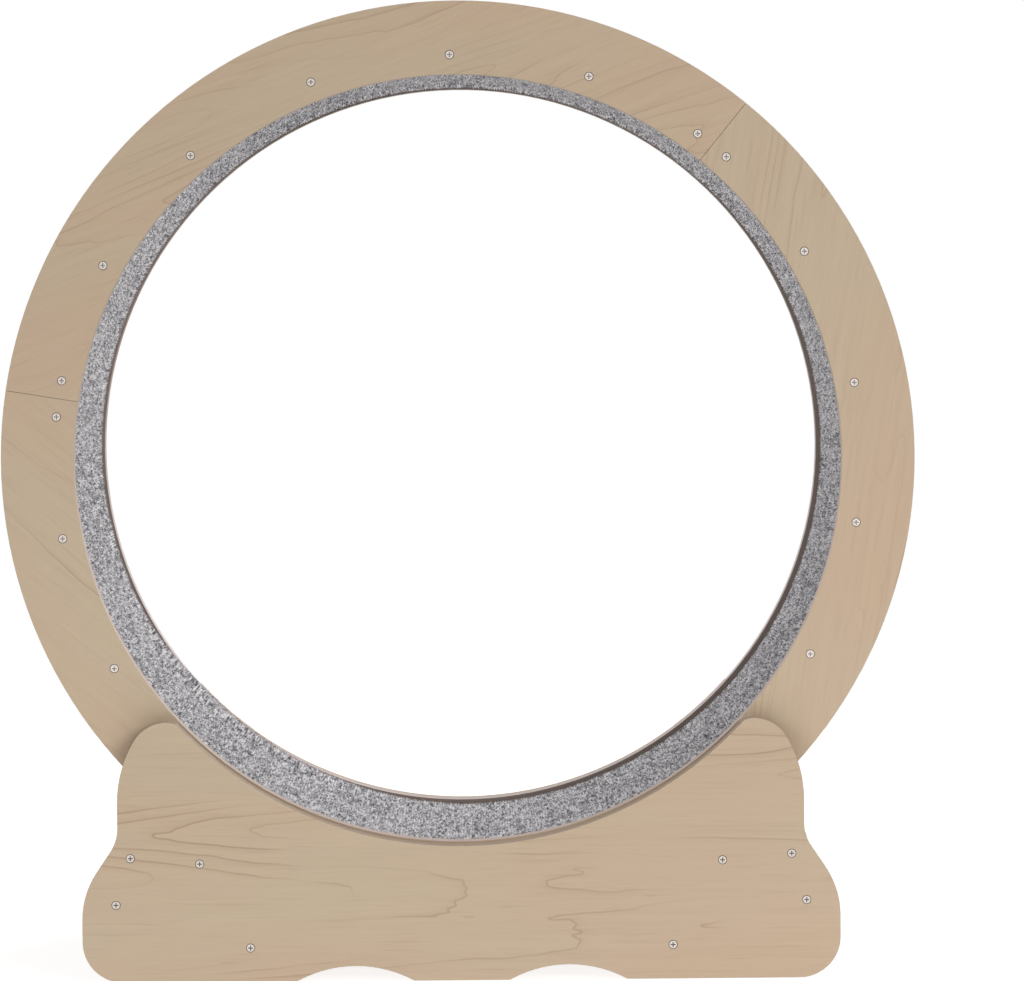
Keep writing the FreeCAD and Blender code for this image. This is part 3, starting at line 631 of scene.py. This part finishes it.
def screw_head(s, colour, face, recess):
    """The colour of a screw whose head lies in the plane face: its rounded rim and its recess get
    painted shade."""
    away = s.math("ABSOLUTE", s.vector("DOT_PRODUCT", s.coordinates("Object"), tuple(Y)))
    top_low, top_high = [face - depth for depth in RECESS_TOP]
    floor_low, floor_high = [face - depth for depth in RECESS_FLOOR]
    sunk = s.math("MULTIPLY", s.step(away, top_low, top_high, 1.0, 0.0),
                  s.step(away, floor_low, floor_high))
    rim = s.step(s.math("ABSOLUTE", s.facing(Y)), *RIM_TURN, 1.0, 0.0)
    colour = s.mix(s.math("MULTIPLY", rim, RIM_SHARE), colour, RIM_PAINTED_SHADE)
    return s.mix(sunk, colour, recess)


def metal(name, colours, roughness, wear_scale, metallic=1.0, head=None):
    """Plated or ground steel, with cloudy patches and a fine grit. For screws, head is the plane of
    their heads and the painted shade of the recesses."""
    s = Shader(name)
    place = s.coordinates("Object")
    cloud = s.noise(place, wear_scale, detail=3)
    grit = s.noise(place, GRIT_SCALE)
    colour = s.mix(s.step(cloud, *WEAR_SPAN), *colours)
    if head:
        colour = screw_head(s, colour, *head)
    wear = s.ramp(cloud, *NOISE_SPAN, *roughness)
    s.surface(colour, s.math("MULTIPLY_ADD", grit, GRIT_ROUGHNESS, wear), grit, METAL_BUMP,
              Metallic=metallic)
    return s.material


def nylon():
    """Off-white turned nylon, faintly cloudy."""
    s = Shader("roller_nylon")
    place = s.coordinates("Object")
    cloud = s.noise(place, NYLON_CLOUD_SCALE, detail=3)
    grain = s.noise(place, NYLON_GRAIN_SCALE)
    roughness = s.ramp(cloud, *NOISE_SPAN, *NYLON_ROUGHNESS)
    s.surface(s.mix(cloud, NYLON_DARK, NYLON_LIGHT), roughness, grain, NYLON_BUMP)
    return s.material


def finish_hardware():
    """The screws, bolts, nuts, washers, spacers, bearings and rollers."""
    ring_zinc = metal("ring_screw_zinc", RING_ZINC, SCREW_ROUGHNESS, ZINC_WEAR_SCALE,
                      SCREW_METALLIC, (RING_FACE, RING_RECESS_SHADE))
    panel_zinc = metal("panel_screw_zinc", PANEL_ZINC, SCREW_ROUGHNESS, ZINC_WEAR_SCALE,
                       SCREW_METALLIC, (PANEL_FACE, PANEL_RECESS_SHADE))
    zinc = metal("zinc_plate", PLAIN_ZINC, ZINC_ROUGHNESS, ZINC_WEAR_SCALE)
    steel = metal("ground_steel", STEEL, STEEL_ROUGHNESS, STEEL_WEAR_SCALE)
    white_nylon = nylon()
    for node in nodes:
        if node.endswith("ring_screws"):
            paint(node, ring_zinc)
            ease_edges(node, SCREW_EDGE_ANGLE)
        elif node.endswith("panel_screws") or node == "axle_bolts":
            paint(node, panel_zinc)
            ease_edges(node, SCREW_EDGE_ANGLE)
        elif node.startswith("axle"):
            paint(node, zinc)
        elif "race" in node or "balls" in node or "spacer" in node:
            paint(node, steel)
        elif node.startswith("roller"):
            paint(node, white_nylon)


# ---------------------------------------------------------------- shape of the carpet

# The pile is a grid with one peak at the middle of each loop and hollows between the loops.
LOOPS_AROUND = 858
LOOPS_ACROSS = 87
QUADS_PER_LOOP = 2
PILE_FLOOR = 0.0022
PILE_TOP = 0.0048
PILE_SIDE_RISE = 0.0011
FLOOR_SPREAD = (-0.0003, 0.0005)
SIDE_SPREAD = (-0.0005, 0.0005)
TOP_SPREAD = 0.00045
LOOP_JITTER = 0.0004
PILE_SEED = 4107

BACKING = 0.0009
BACKING_STEPS = 361
BACKING_HALF_GAP = math.radians(0.075)
EDGE_GAP = 0.0003

# The seam opens towards the carpet's rear edge, by this much at each side, between these two
# distances from the middle of the track.
SEAM_OPEN = 0.0007
SEAM_FROM, SEAM_TO = 0.122, 0.138

# How far the carpet's rear edge stands off the track, in millimetres, at angles in degrees
# from +X: it is glued down unevenly, and it lifts most beside the seam.
REAR_LIFT = ((0, 0.4), (15, 0.7), (35, 3.0), (48, 4.2), (90, 4.0), (110, 3.4), (135, 3.7),
             (150, 3.4), (165, 2.6), (180, 2.2), (195, 2.6), (210, 2.9), (218, 6.4), (221.9, 8.0),
             (222.1, 8.2), (234, 7.8), (246, 6.0), (258, 3.0), (270, 0.9), (300, 0.8), (315, 0.1),
             (345, 0.0), (360, 0.4))
MILLIMETRE = 0.001

# The front edge lifts by FRONT_LIFT millimetres, give or take FRONT_LIFT_WAVE, in waves round
# the wheel. Each edge's lift grows between two distances from the middle of the track.
FRONT_LIFT = 0.5
FRONT_LIFT_WAVE = 0.4
FRONT_LIFT_WAVES = 3
FRONT_LIFT_PHASE = 1.0
FRONT_LIFT_FROM = 0.118
REAR_LIFT_FROM = 0.100
LIFT_TO = 0.137

# The shades of the grid points, from 0 for the darkest yarn to 1 for the lightest.
LOOP_SHADE = 0.55
YARN_SPREAD = 0.24
ROW_SPREAD = 0.08
DARKEST_LOOP = 0.02
YARN_RUN = 5
# The hollows between the loops and the loops' sides are painted darker, as painted shade in the
# pile.
HOLLOW_PAINTED_SHADE = 0.30
HOLLOW_SPREAD = 0.08
PEAK_SPREAD = 0.06
SIDE_PAINTED_SHADE = 0.85

# The layout for baking: its margin, its width, and the height of each of its two halves.
BAKE_MARGIN = 0.005
BAKE_SPAN = 1 - 2 * BAKE_MARGIN
BAKE_HALF_SPAN = 0.5 - 2 * BAKE_MARGIN


def smooth_step(value, low, high):
    """A smooth step from 0 to 1 while value goes from low to high."""
    share = np.clip((value - low) / (high - low), 0, 1)
    return share * share * (3 - 2 * share)


def pile_heights(random):
    """Heights of the pile's grid points above the back of the carpet."""
    across = LOOPS_ACROSS * QUADS_PER_LOOP + 1
    around = LOOPS_AROUND * QUADS_PER_LOOP + 1
    heights = PILE_FLOOR + random.uniform(*FLOOR_SPREAD, (around, across))
    heights[1::2, 1::2] = PILE_TOP + random.normal(0, TOP_SPREAD, heights[1::2, 1::2].shape)
    sides = PILE_FLOOR + PILE_SIDE_RISE
    heights[0::2, 1::2] = sides + random.uniform(*SIDE_SPREAD, heights[0::2, 1::2].shape)
    heights[1::2, 0::2] = sides + random.uniform(*SIDE_SPREAD, heights[1::2, 0::2].shape)
    heights[:, [0, -1]] = BACKING
    heights[-1] = heights[0]
    return heights


def edge_lift(angle, y):
    """How far the carpet stands off the track, near its edges."""
    degrees, lifts = np.array(REAR_LIFT).T
    turned = np.degrees(angle) % 360
    rear = np.interp(turned, degrees, lifts) * smooth_step(y, REAR_LIFT_FROM, LIFT_TO)
    waves = np.sin(FRONT_LIFT_WAVES * angle + FRONT_LIFT_PHASE)
    front = (FRONT_LIFT + FRONT_LIFT_WAVE * waves) * smooth_step(-y, FRONT_LIFT_FROM, LIFT_TO)
    lift = MILLIMETRE * (rear + front)
    lift[:, [0, -1]] = 0
    return lift


def yarn_shades(random, heights):
    """Shade of each grid point: each loop has its yarn's shade, which changes slowly along a row
    across the carpet, and the hollows and the sides between loops get painted shade."""
    yarns = random.normal(0, 1, (LOOPS_AROUND, LOOPS_ACROSS + YARN_RUN))
    sums = np.cumsum(yarns, axis=1)
    rows = (sums[:, YARN_RUN:] - sums[:, :-YARN_RUN]) / math.sqrt(YARN_RUN)
    loops = LOOP_SHADE + YARN_SPREAD * yarns[:, YARN_RUN:] + ROW_SPREAD * rows
    loops = np.clip(loops, DARKEST_LOOP, 1.0)
    shades = np.full(heights.shape, HOLLOW_PAINTED_SHADE)
    shades += random.uniform(-HOLLOW_SPREAD, HOLLOW_SPREAD, heights.shape)
    shades[1::2, 1::2] = loops + random.uniform(-PEAK_SPREAD, PEAK_SPREAD, loops.shape)
    shades[2:-1:2, 1::2] = 0.5 * (loops[1:] + loops[:-1]) * SIDE_PAINTED_SHADE
    shades[1::2, 2:-1:2] = 0.5 * (loops[:, 1:] + loops[:, :-1]) * SIDE_PAINTED_SHADE
    return shades


def bake_map(mesh, rows, columns):
    """A layout for baking: the strip is cut in two halves, laid one above the other."""
    half = rows // 2
    row, column = np.meshgrid(np.arange(rows), np.arange(columns), indexing="ij")
    row, column = row.ravel(), column.ravel()
    upper = (row >= half).astype(float)
    local = row - upper * half
    corners = []
    for more_row, more_column in ((0, 0), (0, 1), (1, 1), (1, 0)):
        u = BAKE_MARGIN + BAKE_SPAN * (local + more_row) / (rows - half)
        v = 0.5 * upper + BAKE_MARGIN + BAKE_HALF_SPAN * (column + more_column) / columns
        corners.append(np.stack([u, v], -1))
    layer = mesh.uv_layers.new(name="OFBake")
    layer.data.foreach_set("uv", np.stack(corners, 1).ravel().astype(np.float32))


def grid_mesh(name, places, shades):
    """A mesh through a grid of points, its faces turned to the wheel's axle."""
    around, across = places.shape[:2]
    corner = np.arange(around * across).reshape(around, across)
    faces = np.stack([corner[:-1, :-1], corner[:-1, 1:], corner[1:, 1:], corner[1:, :-1]], -1)
    faces = faces.reshape(-1, 4)
    mesh = bpy.data.meshes.new(name)
    mesh.from_pydata(places.reshape(-1, 3).tolist(), [], faces.tolist())
    mesh.polygons.foreach_set("use_smooth", np.ones(len(faces), bool))
    shade = mesh.attributes.new("shade", "FLOAT", "POINT")
    shade.data.foreach_set("value", shades.ravel().astype(np.float32))
    bake_map(mesh, around - 1, across - 1)
    return mesh


def on_wheel(angle, radius, y):
    """Points at these angles from +X and distances from the axle."""
    return np.stack([WHEEL_CENTRE.x + radius * np.cos(angle), y,
                     WHEEL_CENTRE.z + radius * np.sin(angle)], -1)


# ---------------------------------------------------------------- materials of the carpet

CARPET_DARK = (0.052, 0.047, 0.060, 1)
CARPET_LIGHT = (0.96, 0.936, 0.960, 1)
CARPET_EDGE_BROWN = (0.24, 0.175, 0.165, 1)
LATEX_DARK = (0.20, 0.19, 0.18, 1)
LATEX_LIGHT = (0.34, 0.33, 0.31, 1)

# Cells per metre around the carpet and across it.
SPECK_CELLS = (470, 75, 1)
CARPET_FIBRE_SCALE = 1100.0
CARPET_CLOUD_SCALE = 9.0
EDGE_BROWN_SCALE = 420.0
WEAVE_SCALE = 700.0

# How far each noise moves the yarn's shade. DARK_SPECKS are the low end of the specks: the
# noise between which they fade out, and the shade that is added below it and above it.
CARPET_FIBRE_SWAY = 0.55
SPECK_SWAY = 0.90
CARPET_CLOUD_SWAY = 0.10
DARK_SPECKS = (0.30, 0.42, -0.34, 0.03)

# The brown strips along the carpet's edges fade in between two distances from the track's edge, and
# are uneven: the noise between which they get stronger, and their share of colour below it and
# above it.
EDGE_BROWN_INNER, EDGE_BROWN_OUTER = 0.013, 0.002
EDGE_BROWN_PATCHES = (0.40, 0.62, 0.30, 0.95)

CARPET_ROUGHNESS = 0.92
CARPET_BUMP = 0.0006
CARPET_SHEEN = 0.15
LATEX_ROUGHNESS = 0.9
LATEX_BUMP = 0.0003


def yarn_specks(s, place):
    """Light and dark specks of yarn, a little longer across the carpet than around it."""
    out = s.vector("SUBTRACT", place, tuple(WHEEL_CENTRE))
    x, y, z = [s.vector("DOT_PRODUCT", out, tuple(axis)) for axis in (X, Y, Z)]
    around = s.math("MULTIPLY", s.math("ARCTAN2", z, x), CARPET_BACK)
    return s.stretched(s.combine(around, y, 0.0), SPECK_CELLS, detail=1)


def carpet_material():
    """Grey heathered yarn, with patchy dark brown along the two long edges."""
    s = Shader("heather_carpet")
    place = s.coordinates("Object")
    fibre = s.noise(place, CARPET_FIBRE_SCALE, detail=3, roughness=0.65)
    cloud = s.noise(place, CARPET_CLOUD_SCALE, detail=3)
    specks = yarn_specks(s, place)
    value = s.sway(s.attribute("shade"), fibre, CARPET_FIBRE_SWAY)
    value = s.sway(value, specks, SPECK_SWAY)
    value = s.math("ADD", s.step(specks, *DARK_SPECKS), value)
    value = s.sway(value, cloud, CARPET_CLOUD_SWAY)
    colour = s.mix(s.step(value, 0.0, 1.0), CARPET_DARK, CARPET_LIGHT)
    away = s.math("ABSOLUTE", s.vector("DOT_PRODUCT", place, tuple(Y)))
    edges = s.step(away, TRACK_EDGE - EDGE_BROWN_INNER, TRACK_EDGE - EDGE_BROWN_OUTER)
    edge_brown = s.math("MULTIPLY", edges, s.step(s.noise(place, EDGE_BROWN_SCALE), *EDGE_BROWN_PATCHES))
    colour = s.mix(edge_brown, colour, CARPET_EDGE_BROWN)
    s.surface(colour, CARPET_ROUGHNESS, fibre, CARPET_BUMP, Sheen_Weight=CARPET_SHEEN)
    return s.material


def latex_material():
    """The woven backing, coated with grey latex."""
    s = Shader("carpet_latex")
    weave = s.noise(s.coordinates("Object"), WEAVE_SCALE)
    colour = s.mix(weave, LATEX_DARK, LATEX_LIGHT)
    s.surface(colour, LATEX_ROUGHNESS, weave, LATEX_BUMP)
    return s.material


# ---------------------------------------------------------------- pieces of the carpet

def add_to_wheel(name, mesh, material):
    """A piece of carpet that turns with the wheel."""
    piece = bpy.data.objects.new(name, mesh)
    bpy.context.scene.collection.objects.link(piece)
    mesh.materials.append(material)
    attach(piece, "wheel")
    return piece


def make_pile(edge):
    """The loops of the carpet, in as many lengths as the rings have segments."""
    random = np.random.default_rng(PILE_SEED)
    heights = pile_heights(random)
    shades = yarn_shades(random, heights)
    around, across = heights.shape
    y = np.linspace(-edge, edge, across)[None, :] + np.zeros((around, 1))
    half_gap = SEAM_OPEN / CARPET_BACK * smooth_step(y, SEAM_FROM, SEAM_TO)
    share = np.linspace(0, 1, around)[:, None]
    angle = SEAM_ANGLE + half_gap + (math.tau - 2 * half_gap) * share
    jitter = random.uniform(-LOOP_JITTER, LOOP_JITTER, (2,) + heights.shape)
    jitter[:, :, [0, -1]] = 0
    jitter[:, [0, -1], :] = 0
    radius = CARPET_BACK - heights - edge_lift(angle, y)
    places = on_wheel(angle + jitter[0] / CARPET_BACK, radius, y + jitter[1])
    material = carpet_material()
    rows = (around - 1) // SEGMENTS
    pieces = []
    for number in range(SEGMENTS):
        part = slice(number * rows, (number + 1) * rows + 1)
        name = "carpet_pile_%d" % (number + 1)
        pieces.append(add_to_wheel(name, grid_mesh(name, places[part], shades[part]), material))
    return pieces


def make_backing(edge):
    """The closed, thin slab under the pile. Returns it and its length."""
    run = math.tau - 2 * BACKING_HALF_GAP
    angle = SEAM_ANGLE + BACKING_HALF_GAP + run * np.linspace(0, 1, BACKING_STEPS)
    top = CARPET_BACK - BACKING
    section = ((CARPET_BACK, -edge), (CARPET_BACK, edge), (top, edge), (top, -edge))
    lines = [on_wheel(angle, np.full(BACKING_STEPS, radius), np.full(BACKING_STEPS, y))
             for radius, y in section]
    index = np.arange(BACKING_STEPS * 4).reshape(BACKING_STEPS, 4)
    faces = [tuple(index[0][::-1]), tuple(index[-1])]
    for side in range(4):
        here, there = index[:, side], index[:, (side + 1) % 4]
        faces += np.stack([here[:-1], there[:-1], there[1:], here[1:]], -1).tolist()
    mesh = bpy.data.meshes.new("carpet_backing")
    mesh.from_pydata(np.stack(lines, 1).reshape(-1, 3).tolist(), [], faces)
    return add_to_wheel("carpet_backing", mesh, latex_material()), run * CARPET_BACK


def make_carpet():
    """The carpet runner: its pile on its backing."""
    edge = TRACK_EDGE - EDGE_GAP
    pile = make_pile(edge)
    backing, length = make_backing(edge)
    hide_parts("carpet_runner")


# ---------------------------------------------------------------- build

bpy.context.scene.view_settings.view_transform = "Standard"
make_camera()
make_world()
for softbox in SOFTBOXES:
    make_softbox(*softbox)
make_floor()
finish_rings()
finish_panels()
finish_timber()
finish_hardware()
make_carpet()
